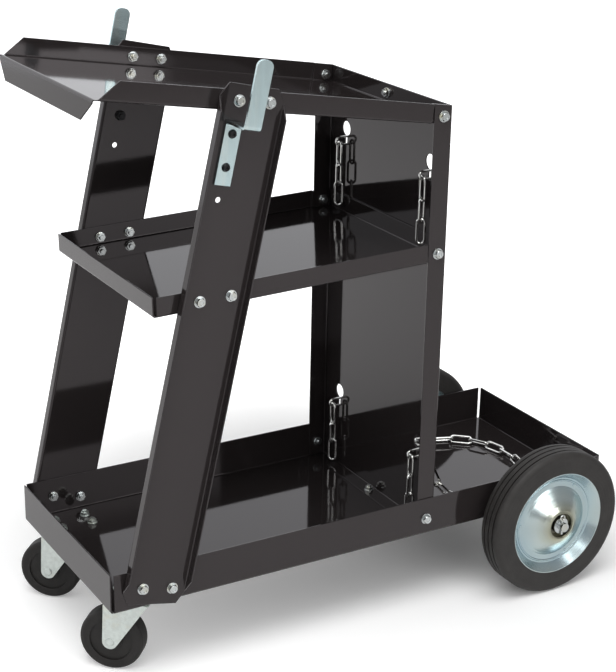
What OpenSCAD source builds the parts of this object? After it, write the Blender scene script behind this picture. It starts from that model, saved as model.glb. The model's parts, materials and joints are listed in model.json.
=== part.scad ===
// Welding cart: three folded sheet-steel trays on two leaning channel legs and a
// keyhole back panel, two plate casters in front, two large wheels on a cross axle
// behind, two cable hooks and two chains that hold the gas bottle.
// X runs from the casters to the bottle tray, Y across, Z up from the ground.

/* [Sheet steel] */
// Thickness of the sheet of trays, legs and panel
sheet = 1.5; // [1:0.1:2.5]
// Outside radius of the bend at the foot of a lip
bend_r = 3; // [2.8:0.1:5]
// Slit between two lips at a tray corner
corner_slit = 1.2; // [0.4:0.1:3]

/* [Bottom tray] */
// Length of the cart tray, from its front edge to the panel's rear face
cart_len = 452; // [440:1:480]
// Length of the bottle tray behind the panel
bottle_len = 272; // [250:1:300]
// Width of all three trays
tray_wid = 280; // [240:1:340]
// Height of the bottom tray's lips
tray_lip = 50; // [40:1:60]

/* [Middle shelf] */
// Front edge of the middle shelf, from the bottom tray's front edge
mid_front = 60; // [20:1:100]
// Height of the middle shelf's front edge over the bottom tray's underside
mid_up = 357; // [320:1:400]
// Rise of the middle shelf towards the panel, in degrees
mid_rise = 1.7; // [0:0.1:3]
// Height of the middle shelf's lips
mid_lip = 24; // [20:1:40]
// Height of the middle shelf's bolts over its underside
mid_bolt_up = 10.5; // [9:0.5:14]

/* [Top shelf] */
// Overhang of the top shelf in front of the bottom tray
top_over = 5; // [0:1:20]
// Height of the top shelf's front edge over the bottom tray's underside
top_up = 607.5; // [580:0.5:650]
// Fall of the top shelf towards the back panel, in degrees
top_fall = 8.9; // [4:0.1:12]
// Height of the top shelf's side and rear lips
top_lip = 23.5; // [20:0.5:32]
// Depth of the front lip, which is bent down
nose_lip = 25; // [15:1:35]
// Length by which each end of the front lip narrows
nose_taper = 28; // [10:1:40]

/* [Back panel] */
// Depth of the panel's side flanges
flange_d = 26; // [20:1:30]
// Depth of the foot flange
foot_d = 22; // [18:1:24]
// Distance of a keyhole from the middle of the panel
keyhole_y = 98; // [80:1:105]
// Diameter of a keyhole's round end
keyhole_d = 19.5; // [17:0.5:22]
// Width of a keyhole's slot
slot_w = 5.2; // [4.6:0.1:6]
// Height of a slot's foot below the round end's centre
slot_drop = 23; // [20:1:30]
// Distance of the upper keyholes' centres from the top shelf's underside
keyhole_down = 53.5; // [40:0.5:80]
// Height of the lower keyholes' centres over the bottom tray's underside
keyhole_up = 111; // [104:1:124]

/* [Legs] */
// Width of a leg's web
leg_w = 83; // [76:1:95]
// Depth of the leg channel, web included
leg_d = 12.5; // [8:0.5:20]
// Lean of the legs, in degrees
leg_lean = 12.5; // [11:0.1:13.5]
// Where the leg's middle crosses the bottom tray's underside, from the front
leg_x = 50.5; // [46:0.5:60]
// Height of the leg's top over the top shelf's underside
leg_over = 29.5; // [26:0.5:34]
// Height of the top shelf's bolts over its underside
head_bolt_up = 12; // [11:0.5:14]
// Height of the web's foot above that crossing, along the leg
leg_foot = 2; // [0:0.5:6]
// Width of the cut corners of the web
leg_cut = 10; // [4:0.5:14]
// Length of the cut corners of the web
leg_cut_len = 16; // [10:0.5:24]
// Length of the slope at each flange end
leg_taper = 16; // [8:0.5:30]

/* [Cable hooks] */
// Width of the hook's strap
strap_w = 20; // [17:0.5:24]
// Thickness of the hook's strap
strap_t = 3; // [2:0.5:4]
// Distance from the web to the outside of the finger
hook_reach = 45; // [30:1:60]
// Length of the finger above the ledge
finger_len = 75; // [50:1:100]
// Length of the plate below the ledge
hook_plate = 72; // [64:1:80]
// Pitch of the hook holes in the leg
hook_pitch = 37.5; // [34:0.5:40]
// Distance of the first hook hole from the leg's top
hook_hole_down = 55; // [50:1:60]

/* [Bolts] */
// Diameter of a bolt's shank
bolt_d = 6; // [5:0.5:6.5]
// Width across the flats of heads and nuts
bolt_af = 10; // [9:0.5:11]
// Height of a hexagon head over its flange
bolt_head = 4.6; // [3.5:0.1:5]
// Diameter of the flange under heads and nuts
bolt_flange_d = 14; // [12.5:0.5:14]
// Height of a nut
nut_h = 5; // [4:0.5:6]

/* [Rear wheels] */
// Diameter of the rear tyres
wheel_d = 200; // [190:1:204]
// Width of the rear tyres
wheel_w = 38; // [30:1:42]
// Thickness of the tyre, from the tread to the rim
tyre_depth = 29; // [25:0.5:34]
// Diameter of the cross axle
axle_d = 12; // [10:0.5:14]
// Distance of the axle behind the panel
axle_back = 166; // [140:1:175]
// Distance of the tyre's inner side from the tray
wheel_gap = 11; // [9:0.5:20]

/* [Casters] */
// Height of a caster above its wheel
caster_head = 26.3; // [24:0.1:34]
// Width of the caster wheels
caster_w = 25; // [20:1:28]
// Distance of the caster's pivot from the bottom tray's front edge
caster_x = 52; // [48:1:60]
// Distance of the caster's pivot from the middle
caster_y = 100; // [85:1:104]
// Horizontal distance from the pivot to the wheel's axle
caster_trail = 32; // [28:1:36]
// Direction in which the wheels trail, in degrees from straight forward
caster_yaw = 42; // [0:1:90]

/* [Chains] */
// Diameter of the chain's wire
wire_d = 3.2; // [2.6:0.1:3.4]
// Inside length of a link
link_in = 28; // [26:0.5:29]
// Inside width of a link
link_gap_w = 7; // [6.4:0.1:8]
// Play between two links
link_play = 0.9; // [0.7:0.05:1.2]

/* [Hidden] */
$fn = 48;

sides = ["near", "far"];
cut = 1;
steel_black = [0.07, 0.07, 0.075];
zinc = [0.74, 0.77, 0.80];
rubber = [0.10, 0.10, 0.10];

// Bolts and their holes
bolt_hole_d = bolt_d + 0.1 * bolt_d;
flange_t = 0.23 * bolt_d;
bolt_tail = 0.4 * bolt_d;
screw_head_d = 1.75 * bolt_d;
screw_head_h = 0.55 * bolt_d;
screw_socket = 0.66 * bolt_d;

// Wheels, axle and the height of the bottom tray
wheel_r = wheel_d / 2;
axle_r = axle_d / 2;
axle_seat = 0.3;
tray_z = wheel_r + axle_r + axle_seat;
running_fit = 0.05;
side_play = 0.3;
half_w = tray_wid / 2;
tray_len = cart_len + bottle_len;
panel_x = cart_len;
axle_x = panel_x + axle_back;
caster_d = tray_z - caster_head;
rim_d = wheel_d - 2 * tyre_depth;
wheel_y = half_w + wheel_gap + wheel_w / 2;
hub_over = 4;
hub_r = axle_r + 5;
hub_half = wheel_w / 2 + hub_over;
collar_r = axle_r + 4;
collar_w = 5;
washer_t = 2;
washer_r = axle_r + 5;
cotter_d = 3;
cotter_leg = axle_d + 10;
axle_end = 5;
cotter_y = wheel_y + hub_half + side_play + washer_t + side_play + cotter_d / 2;
axle_half = cotter_y + cotter_d / 2 + axle_end;
saddle_w = 30;
saddle_t = 2.5;
saddle_wing = 16;
saddle_y = half_w - 30;

// Tyre and rim sections
tyre_round = 7;
tread_groove_w = 2.2;
tread_groove_h = 2.2;
tread_groove_off = 8.5;
rim_t = 2;
rim_r = rim_d / 2;
band_depth = 11;
band_r = rim_r - 10;
bead_r = rim_r - 14;
bead_h = 1;
dome_r = rim_r - 20;
dome_over = 7.5;
cup_r = hub_r + 6;
cup_depth = 10;
dome_shares = [[0, 0], [0.05, 0.01], [0.16, 0.11], [0.42, 0.42], [0.7, 0.77], [0.88, 0.95], [0.97, 1]];
rim_rivets = 3;
rivet_r = 2;
rivet_h = 0.8;
rivet_ring = rim_r - 16.8;
rivet_turn = 56;

// Sheet layers: the panel's flanges lie inside the bottom tray's lips and outside
// the lips of the two shelves, which step in by two sheets behind the flange's edge
flange_out = half_w - sheet;
step_in = 2 * sheet;
panel_front = panel_x - sheet;
step_x = panel_x - flange_d - sheet;
floor_z = tray_z + sheet;
flange_bolt_x = panel_x - flange_d / 2;

// Top shelf: distances along the sloping floor carry the name run
top_z = tray_z + top_up;
top_front = -top_over;
lip_set = 2 * bend_r;
nose_round = top_lip;
function top_under(x) = top_z - (x - top_front) * tan(top_fall);
step_run = (step_x - top_lip * sin(top_fall) - top_front) / cos(top_fall);
bend_run = (panel_front - bend_r - bend_r * sin(top_fall) - top_front) / cos(top_fall);
end_run = (panel_front - top_front) / cos(top_fall);
bend_lap = 0.05 * sheet;

// Middle shelf: it is drawn level and turned about its front edge
mid_z = tray_z + mid_up;
mid_len = (panel_front - mid_front) / cos(mid_rise);
mid_step = (step_x - mid_front) / cos(mid_rise);
function mid_under(x) = mid_z + (x - mid_front) * tan(mid_rise);

// Keyholes
keyhole_top_z = top_under(panel_x) - keyhole_down;
keyhole_low_z = tray_z + keyhole_up;

// Legs, in their own frame: u across the web, v along it from the crossing point
bolt_u_mid = 3;
bolt_u_half = 19.3;
foot_bolt_v = 22.5;
hook_u = -18;
// Place along the leg where its line at u meets a sloping line through x0, z0
function leg_meet(u, x0, z0, slope) =
    (z0 - tray_z + (leg_x + u * cos(leg_lean) - x0) * slope + u * sin(leg_lean)) /
    (cos(leg_lean) - sin(leg_lean) * slope);
leg_top = leg_meet(0, top_front, top_z + leg_over, -tan(top_fall));
function mid_bolt_v(u) = leg_meet(u, mid_front, mid_z + mid_bolt_up, tan(mid_rise));
function head_bolt_v(u) = leg_meet(u, top_front, top_z + head_bolt_up, -tan(top_fall));
hook_hole_v = [for (k = [0:2]) leg_top - hook_hole_down - k * hook_pitch];
web_out = half_w + sheet;
function leg_point(u, v) = [
    leg_x + v * sin(leg_lean) + u * cos(leg_lean),
    tray_z + v * cos(leg_lean) - u * sin(leg_lean)];
bolt_us = [bolt_u_mid - bolt_u_half, bolt_u_mid + bolt_u_half];
leg_bolts = concat([for (u = bolt_us) [u, foot_bolt_v]], [for (u = bolt_us) [u, mid_bolt_v(u)]],
    [for (u = bolt_us) [u, head_bolt_v(u)]]);

// Hooks
hook_bend = 2.5;
ledge_v = hook_hole_v[0] + strap_w * 0.7;
hook_low_v = ledge_v - hook_plate;
finger_top_v = ledge_v + finger_len;
finger_round = strap_w * 0.4;

// Heights of the bolts through the panel's flanges
panel_bolt_z = [
    tray_z + tray_lip * 0.44,
    mid_under(flange_bolt_x) + mid_bolt_up,
    top_under(flange_bolt_x) + top_lip * 0.43];
lip_bolt_z = top_under(panel_front) + top_lip * 0.55;

// Casters
caster_r = caster_d / 2;
plate_t = 2.5;
plate_l = 57;
plate_w = 41;
plate_bolt_x = 20.5;
plate_bolt_y = 12.2;
race_r = 15;
fork_t = 2.5;
fork_gap = 0.25;
fork_play = 2;
fork_end_r = 9.5;
fork_top_z = caster_r + caster_r + 15;
crown_back = 17;
cheek_y = caster_w / 2 + fork_play;
kingpin_r = 5;
kingpin_head_r = 8;
kingpin_head_h = 3;
pin_r = 4;
pin_head_r = 5.5;
pin_head_h = 1;
caster_round = 5;
caster_hub_r = 12;
caster_recess = 2;

// Chains. A link runs along its own X. Joints are the points where two links cross.
wire_r = wire_d / 2;
link_turn_r = (link_gap_w + wire_d) / 2;
link_straight = link_in - link_gap_w;
link_pitch = link_in - link_play;
link_w = link_gap_w + 2 * wire_d;
panel_mid = panel_x - sheet / 2;
hang_x = link_straight / 2;
chain_x = panel_mid + hang_x;
tail_x = panel_mid - hang_x;
tail_links = 3;
tail_rolls = [0, 68, 142];
upper_links = 17;
function slot_z(c) = c - slot_drop;
function bridge_z(c) = slot_z(c) + link_w / 2 + link_play / 2;
function hang_z(c) = bridge_z(c) - link_turn_r + wire_r + link_play / 2;

// The upper chain hangs behind the panel in a catenary of this half length
hang_half = upper_links * link_pitch / 2;
function sinh(x) = (exp(x) - exp(-x)) / 2;
function asinh(x) = ln(x + sqrt(x * x + 1));
function sag(lo, hi, n) = n == 0 ? (lo + hi) / 2 :
    let (m = (lo + hi) / 2) m * sinh(keyhole_y / m) > hang_half ? sag(m, hi, n - 1) : sag(lo, m, n - 1);
sag_r = sag(hang_half * 0.08, hang_half, 40);
function hang_point(s) = [chain_x, -sag_r * asinh(s / sag_r), sqrt(sag_r * sag_r + s * s)];
hang_base = hang_z(keyhole_top_z) - hang_point(hang_half)[2];
upper_joints = [for (k = [0:upper_links]) hang_point(k * link_pitch - hang_half) + [0, 0, hang_base]];

// The lower chain drops behind the panel, link by link less steeply, and then lies on the
// bottle tray's floor in a loop. Both runs are shares of an angle that closes the path.
drop_shares = [1, 0.97, 0.72, 0.42, 0.12];
loop_shares = [0.06, 0.12, 0.24, 0.46, 0.68, 0.88];
drop_links = len(drop_shares);
floor_links = len(loop_shares);
lower_links = 2 * (drop_links + floor_links) + 1;
lie_z = floor_z + link_turn_r * sin(45) + wire_r + link_play / 4;
function sum_sin(a, shares, k = 0) = k == len(shares) ? 0 : sin(a * shares[k]) + sum_sin(a, shares, k + 1);
function angle_for(want, shares, lo = 0, hi = 90, n = 30) = n == 0 ? (lo + hi) / 2 :
    let (m = (lo + hi) / 2) sum_sin(m, shares) < want ? angle_for(want, shares, m, hi, n - 1) :
    angle_for(want, shares, lo, m, n - 1);
drop_angle = angle_for((hang_z(keyhole_low_z) - lie_z) / link_pitch, drop_shares);
loop_angle = angle_for(keyhole_y / link_pitch - 0.5, loop_shares);
function step(k) = k < drop_links ?
    let (e = drop_angle * drop_shares[k]) [cos(e), 0, -sin(e)] :
    let (h = loop_angle * loop_shares[k - drop_links]) [cos(h), -sin(h), 0];
function walk(k) = k == 0 ? [chain_x, keyhole_y, hang_z(keyhole_low_z)] : walk(k - 1) + link_pitch * step(k - 1);
half_joints = [for (k = [0:drop_links + floor_links]) walk(k)];
lower_joints = concat(half_joints,
    [for (k = [drop_links + floor_links:-1:0]) [half_joints[k][0], -half_joints[k][1], half_joints[k][2]]]);
twist_shares = [0, 0.25, 0.6];
function lower_twist(k) = 45 * (k < len(twist_shares) ? twist_shares[k] :
    k > lower_links - 1 - len(twist_shares) ? twist_shares[lower_links - 1 - k] : 1);

// The origin lies on the ground, under the middle of the part's length
nose_x = top_front - nose_lip * sin(top_fall);
origin_x = (tray_len + nose_x) / 2;

// Moves the cart's own frame to the part's origin
module placed() { translate([-origin_x, 0, 0]) children(); }

// Draws a near-side piece, mirrored for the far side
module on_side(side) {
    placed() mirror([0, side == "far" ? 1 : 0, 0]) children();
}

// Section of a bend and its lip: floor along +X from the bend, lip along +Y
module lip_section(h) {
    translate([bend_r, bend_r]) intersection() {
        difference() { circle(r = bend_r); circle(r = bend_r - sheet); }
        translate([-bend_r, -bend_r]) square(bend_r);
    }
    translate([0, bend_r]) square([sheet, h - bend_r]);
}

// One bent lip of a given length, along X, outer face on y = 0
module lip_along_x(len, h) {
    rotate([90, 0, 90]) linear_extrude(len) lip_section(h);
}

// Floor sheet whose long edges end at the bends
module floor_sheet(x0, x1, y_half) {
    translate([x0, -y_half + bend_r, 0]) cube([x1 - x0, 2 * (y_half - bend_r), sheet]);
}

// Front or rear lip across the tray, outer face at x = 0, towards +X
module cross_lip(y_half, h) {
    translate([0, y_half, 0]) rotate([90, 0, 0]) linear_extrude(2 * y_half) lip_section(h);
}

// Side lips of a shelf from x0 to x1; at xs they step in beside the panel's flanges
module stepped_sides(x0, xs, x1, h) {
    for (m = [0, 1]) mirror([0, m, 0]) {
        translate([x0, -half_w, 0]) lip_along_x(xs - x0, h);
        translate([xs, -half_w + step_in, 0]) lip_along_x(x1 - xs, h);
        translate([xs - sheet, -half_w, bend_r]) cube([sheet, step_in + sheet, h - bend_r]);
        translate([xs - sheet, -half_w + bend_r - sheet, 0]) cube([sheet, step_in + sheet, bend_r]);
    }
}

module z_hole(x, y, z, d) {
    translate([x, y, z - cut - sheet]) cylinder(d = d, h = 2 * (cut + sheet) + sheet);
}

// Hole across both side walls
module side_hole(x, z, d) {
    translate([x, half_w + leg_d, z]) rotate([90, 0, 0]) cylinder(d = d, h = 2 * (half_w + leg_d));
}

module caster_hole_set(z) {
    for (m = [-1, 1], i = [-1, 1], j = [-1, 1])
        z_hole(caster_x + i * plate_bolt_x, m * caster_y + j * plate_bolt_y, z, bolt_hole_d);
}

module leg_hole_set(list) {
    for (b = list) let (p = leg_point(b[0], b[1])) side_hole(p[0], p[1], bolt_hole_d);
}

module bottom_tray() {
    color(steel_black) placed() difference() {
        translate([0, 0, tray_z]) {
            floor_sheet(bend_r, tray_len - bend_r, half_w);
            for (m = [0, 1]) mirror([0, m, 0])
                translate([bend_r + corner_slit, -half_w, 0]) lip_along_x(tray_len - 2 * (bend_r + corner_slit), tray_lip);
            cross_lip(half_w - sheet - corner_slit, tray_lip);
            translate([tray_len, 0, 0]) mirror([1, 0, 0]) cross_lip(half_w - sheet - corner_slit, tray_lip);
        }
        caster_hole_set(tray_z);
        leg_hole_set([leg_bolts[0], leg_bolts[1]]);
        side_hole(flange_bolt_x, panel_bolt_z[0], bolt_hole_d);
        z_hole(panel_x - foot_d / 2, 0, tray_z, bolt_hole_d);
    }
}

module middle_shelf() {
    color(steel_black) placed() difference() {
        translate([mid_front, 0, mid_z]) rotate([0, -mid_rise, 0]) {
            floor_sheet(bend_r, mid_step, half_w);
            floor_sheet(mid_step - sheet, mid_len - bend_r, half_w - step_in);
            stepped_sides(bend_r + corner_slit, mid_step, mid_len - bend_r - corner_slit, mid_lip);
            cross_lip(half_w - sheet - corner_slit, mid_lip);
            translate([mid_len, 0, 0]) mirror([1, 0, 0])
                cross_lip(half_w - step_in - sheet - corner_slit, mid_lip);
        }
        leg_hole_set([leg_bolts[2], leg_bolts[3]]);
        side_hole(flange_bolt_x, panel_bolt_z[1], bolt_hole_d);
    }
}

// Outline of the top shelf's side lip, seen from the side: its front end slopes at 45 degrees
module top_side_cutter() {
    rotate([90, 0, 0]) linear_extrude(2 * tray_wid, center = true)
        polygon([[-cut, sheet], [lip_set, sheet], [lip_set + nose_round, top_lip + sheet], [-cut, top_lip + sheet]]);
}

// Front lip of the top shelf: bent down, its ends narrow towards the lower edge
module nose() {
    wide = half_w - bend_r;
    intersection() {
        translate([0, 0, sheet]) mirror([0, 0, 1]) cross_lip(wide, nose_lip + sheet);
        rotate([0, 90, 0]) linear_extrude(2 * bend_r) polygon([
            [-sheet, -wide], [-sheet, wide], [bend_r, wide],
            [nose_lip, half_w - nose_taper], [nose_lip, -half_w + nose_taper], [bend_r, -wide]]);
    }
}

module top_shelf() {
    color(steel_black) placed() difference() {
        union() {
            intersection() {
                translate([top_front, 0, top_z]) rotate([0, top_fall, 0]) {
                    floor_sheet(bend_r, step_run, half_w);
                    floor_sheet(step_run - sheet, bend_run + bend_lap, half_w - step_in);
                    nose();
                    difference() {
                        stepped_sides(0, step_run, end_run, top_lip);
                        top_side_cutter();
                    }
                }
                translate([top_front - nose_lip, -tray_wid, top_z - panel_x])
                    cube([panel_front - sheet / 2 - top_front + nose_lip, 2 * tray_wid, 2 * panel_x]);
            }
            rear_lip();
        }
        leg_hole_set([leg_bolts[4], leg_bolts[5]]);
        side_hole(flange_bolt_x, panel_bolt_z[2], bolt_hole_d);
        translate([panel_front + cut, 0, lip_bolt_z]) rotate([0, -90, 0]) cylinder(d = bolt_hole_d, h = 2 * cut + sheet);
    }
}

// Rear lip of the top shelf, upright against the panel, with its bend
module rear_lip() {
    foot = top_under(panel_front - bend_r) + bend_r / cos(top_fall);
    head = top_under(panel_front) + top_lip / cos(top_fall);
    wide = half_w - step_in - bend_r - corner_slit;
    translate([panel_front - sheet, -wide, foot]) cube([sheet, 2 * wide, head - foot]);
    translate([panel_front - bend_r, wide, foot]) rotate([90, 0, 0]) linear_extrude(2 * wide) intersection() {
        difference() { circle(r = bend_r); circle(r = bend_r - sheet); }
        polygon([[0, 0], [2 * bend_r, 0], [2 * bend_r, -2 * bend_r],
            [-2 * bend_r * sin(top_fall), -2 * bend_r * cos(top_fall)]]);
    }
}

module keyhole(y, z) {
    translate([panel_front - cut, y, z]) rotate([0, 90, 0]) cylinder(d = keyhole_d, h = sheet + 2 * cut);
    translate([panel_front - cut, y - slot_w / 2, slot_z(z) + slot_w / 2])
        cube([sheet + 2 * cut, slot_w, slot_drop - slot_w / 2]);
    translate([panel_front - cut, y, slot_z(z) + slot_w / 2]) rotate([0, 90, 0])
        cylinder(d = slot_w, h = sheet + 2 * cut);
}

// Side outline of the panel with its flanges, its top following the shelf
module panel_side() {
    x0 = panel_x - flange_d;
    rise = top_lip / cos(top_fall);
    polygon([[x0, tray_z + bend_r], [panel_x, tray_z + bend_r],
        [panel_x, top_under(panel_x) + rise], [x0, top_under(x0) + rise]]);
}

// Plan of the panel: the flanges' bends are rounded
module panel_plan() {
    for (m = [0, 1]) mirror([0, m]) translate([panel_x, -flange_out]) rotate(90) lip_section(flange_d);
    translate([panel_x - sheet, -flange_out + bend_r]) square([sheet, 2 * (flange_out - bend_r)]);
}

module back_panel() {
    color(steel_black) placed() difference() {
        union() {
            difference() {
                intersection() {
                    linear_extrude(top_z) panel_plan();
                    rotate([90, 0, 0]) linear_extrude(2 * flange_out, center = true) panel_side();
                }
                translate([panel_x - foot_d, -keyhole_y, floor_z - cut]) cube([foot_d + cut, 2 * keyhole_y, cut + bend_r]);
            }
            translate([panel_x, 0, floor_z]) mirror([1, 0, 0]) cross_lip(keyhole_y, 2 * bend_r);
            translate([panel_x - foot_d, -keyhole_y, floor_z]) cube([foot_d - bend_r, 2 * keyhole_y, sheet]);
        }
        for (y = [-keyhole_y, keyhole_y], z = [keyhole_low_z, keyhole_top_z]) keyhole(y, z);
        for (z = panel_bolt_z) side_hole(flange_bolt_x, z, bolt_hole_d);
        z_hole(panel_x - foot_d / 2, 0, floor_z, bolt_hole_d);
        translate([panel_x + cut, 0, lip_bolt_z]) rotate([0, -90, 0]) cylinder(d = bolt_hole_d, h = 2 * cut + sheet);
    }
}

// Leg frame: draws children with X across the web, Y along the leg, Z outwards
module in_leg() {
    translate([leg_x, -half_w, tray_z]) rotate([0, leg_lean, 0]) rotate([90, 0, 0]) children();
}

module web_outline() {
    a = leg_w / 2;
    polygon([[-a + leg_cut, leg_foot], [a - leg_cut, leg_foot], [a, leg_foot + leg_cut_len],
        [a, leg_top - leg_cut_len], [a - leg_cut, leg_top], [-a + leg_cut, leg_top],
        [-a, leg_top - leg_cut_len], [-a, leg_foot + leg_cut_len]]);
}

// Section across the leg: web, two bends and two flanges
module leg_section() {
    for (m = [0, 1]) mirror([m, 0]) translate([-leg_w / 2, 0]) lip_section(leg_d);
    translate([-leg_w / 2 + bend_r, 0]) square([leg_w - 2 * bend_r, sheet]);
}

// Side outline of the leg: the flanges' ends slope down to the web
module flange_side() {
    low = leg_foot + leg_cut_len;
    high = leg_top - leg_cut_len;
    polygon([[leg_foot, 0], [leg_foot, sheet], [low, sheet], [low + leg_taper, leg_d],
        [high - leg_taper, leg_d], [high, sheet], [leg_top, sheet], [leg_top, 0]]);
}

module leg() {
    color(steel_black) difference() {
        in_leg() intersection() {
            rotate([-90, 0, 0]) mirror([0, 1, 0]) linear_extrude(leg_top) leg_section();
            linear_extrude(leg_d) web_outline();
            translate([-leg_w / 2, 0, 0]) rotate([90, 0, 90]) linear_extrude(leg_w) flange_side();
        }
        leg_hole_set(leg_bolts);
        for (v = hook_hole_v) leg_hole_set([[hook_u, v]]);
    }
}

// Side section of the hook strap: plate, ledge and finger with rounded bends
module hook_section() {
    r = hook_bend;
    o = hook_bend + strap_t;
    y0 = sheet;
    y1 = sheet + hook_reach;
    module turn() {
        intersection() {
            difference() { circle(r = o); circle(r = r); }
            square(o);
        }
    }
    translate([y0, hook_low_v]) square([strap_t, ledge_v - o - hook_low_v]);
    translate([y0 + o, ledge_v - o]) mirror([1, 0]) turn();
    translate([y0 + o, ledge_v - strap_t]) square([hook_reach - 2 * o, strap_t]);
    translate([y1 - o, ledge_v - strap_t + o]) mirror([0, 1]) turn();
    translate([y1 - strap_t, ledge_v - strap_t + o]) square([strap_t, finger_top_v - ledge_v + strap_t - o]);
}

// Front outline of the strap, with the finger's rounded corners and the plate's square foot
module strap_outline() {
    a = strap_w / 2;
    translate([-a, hook_low_v - cut]) square([strap_w, finger_top_v - finger_round - hook_low_v + cut]);
    translate([-a + finger_round, finger_top_v - 2 * finger_round])
        square([strap_w - 2 * finger_round, 2 * finger_round]);
    for (m = [-1, 1]) translate([m * (a - finger_round), finger_top_v - finger_round]) circle(r = finger_round);
}

module hook() {
    color(zinc) difference() {
        in_leg() translate([hook_u, 0, 0]) intersection() {
            translate([-strap_w / 2, 0, 0]) rotate([90, 0, 90]) linear_extrude(strap_w) hook_side();
            linear_extrude(hook_reach + 2 * sheet) strap_outline();
        }
        for (k = [0, 1]) leg_hole_set([[hook_u, hook_hole_v[k]]]);
    }
}

// The hook's section with its length along the leg
module hook_side() {
    mirror([1, 0]) rotate(90) hook_section();
}

// Hexagon flange bolt with its nut: head below z = 0, nut above the grip
module bolt(grip) {
    difference() {
        union() {
            translate([0, 0, -flange_t]) cylinder(d = bolt_flange_d, h = flange_t);
            translate([0, 0, -flange_t - bolt_head]) intersection() {
                cylinder(d = bolt_af / cos(30), h = bolt_head + flange_t, $fn = 6);
                cylinder(d1 = bolt_af * 0.95, d2 = bolt_af * 1.5, h = bolt_head + flange_t);
            }
            cylinder(d = bolt_d, h = grip + nut_h + bolt_tail);
            nut(grip);
        }
        translate([0, 0, -flange_t - bolt_head - cut]) cylinder(d = bolt_af * 0.5, h = cut + bolt_head * 0.12);
    }
}

module nut(grip) {
    translate([0, 0, grip]) {
        cylinder(d = bolt_flange_d * 0.92, h = flange_t);
        cylinder(d = bolt_af / cos(30), h = nut_h, $fn = 6);
    }
}

// Button-head screw with a hexagon socket, and its nut
module screw(grip) {
    color([0.12, 0.12, 0.12]) difference() {
        union() {
            translate([0, 0, -screw_head_h]) cylinder(d1 = screw_head_d * 0.7, d2 = screw_head_d, h = screw_head_h);
            cylinder(d = bolt_d, h = grip + nut_h + bolt_tail);
        }
        translate([0, 0, -screw_head_h - cut]) cylinder(d = screw_socket / cos(30), h = cut + screw_head_h * 0.6, $fn = 6);
    }
    color(zinc) nut(grip);
}

// Places a bolt through the near wall at x, z with its head on the face at y
module through_wall(x, y, z) {
    translate([x, y, z]) rotate([-90, 0, 0]) children();
}

module leg_bolt(k) {
    p = leg_point(leg_bolts[k][0], leg_bolts[k][1]);
    color(zinc) through_wall(p[0], -web_out, p[1]) bolt(2 * sheet);
}

module hook_screw(k) {
    p = leg_point(hook_u, hook_hole_v[k]);
    through_wall(p[0], -web_out - strap_t, p[1]) screw(strap_t + sheet);
}

module panel_bolt(k) {
    y = k == 0 ? -half_w : -flange_out;
    color(zinc) through_wall(flange_bolt_x, y, panel_bolt_z[k]) bolt(2 * sheet);
}

module lip_bolt() {
    color(zinc) placed() translate([panel_x, 0, lip_bolt_z]) rotate([0, -90, 0]) bolt(2 * sheet);
}

module foot_bolt() {
    color(zinc) placed() translate([panel_x - foot_d / 2, 0, tray_z]) bolt(2 * sheet);
}

// Cross axle with a collar inside each wheel and a hole for each cotter pin
module axle() {
    color(zinc) placed() translate([axle_x, 0, wheel_r]) rotate([-90, 0, 0]) difference() {
        union() {
            translate([0, 0, -axle_half]) cylinder(r = axle_r, h = 2 * axle_half);
            for (m = [0, 1]) mirror([0, 0, m])
                translate([0, 0, wheel_y - hub_half - side_play - collar_w]) cylinder(r = collar_r, h = collar_w);
        }
        for (m = [-1, 1]) translate([0, cotter_leg, m * cotter_y]) rotate([90, 0, 0])
            cylinder(d = cotter_d + 2 * running_fit, h = 2 * cotter_leg);
    }
}

// Saddle welded under the bottle tray, holding the axle against it
module saddle() {
    color(steel_black) translate([axle_x, -saddle_y, 0]) difference() {
        union() {
            translate([-saddle_wing - axle_r, -saddle_w / 2, tray_z - saddle_t])
                cube([2 * (saddle_wing + axle_r), saddle_w, saddle_t]);
            translate([0, saddle_w / 2, wheel_r]) rotate([90, 0, 0]) cylinder(r = axle_r + saddle_t, h = saddle_w);
            translate([-axle_r - saddle_t, -saddle_w / 2, wheel_r])
                cube([2 * (axle_r + saddle_t), saddle_w, tray_z - wheel_r]);
        }
        translate([0, saddle_w / 2 + cut, wheel_r]) rotate([90, 0, 0])
            cylinder(r = axle_r + running_fit, h = saddle_w + 2 * cut);
        translate([-axle_r - running_fit, -saddle_w / 2 - cut, wheel_r])
            cube([2 * (axle_r + running_fit), saddle_w + 2 * cut, tray_z - wheel_r + cut]);
        translate([-saddle_wing - axle_r - cut, -saddle_w, tray_z])
            cube([2 * (saddle_wing + axle_r + cut), 2 * saddle_w, axle_d]);
    }
}

// Draws a wheel section: X is the radius, Y points outwards from the wheel's middle
module spin_rear() {
    translate([axle_x, -wheel_y, wheel_r]) rotate([90, 0, 0]) rotate_extrude($fn = 96) children();
}

module tyre_section() {
    a = wheel_w / 2;
    difference() {
        union() {
            translate([rim_r, -a]) square([wheel_r - tyre_round - rim_r, wheel_w]);
            translate([rim_r, -a + tyre_round]) square([wheel_r - rim_r, wheel_w - 2 * tyre_round]);
            for (m = [-1, 1]) translate([wheel_r - tyre_round, m * (a - tyre_round)]) circle(r = tyre_round);
        }
        for (m = [-1:1]) translate([wheel_r - tread_groove_h, m * tread_groove_off - tread_groove_w / 2])
            square([tread_groove_h + cut, tread_groove_w]);
    }
}

module tyre() { color(rubber) spin_rear() tyre_section(); }

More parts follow.
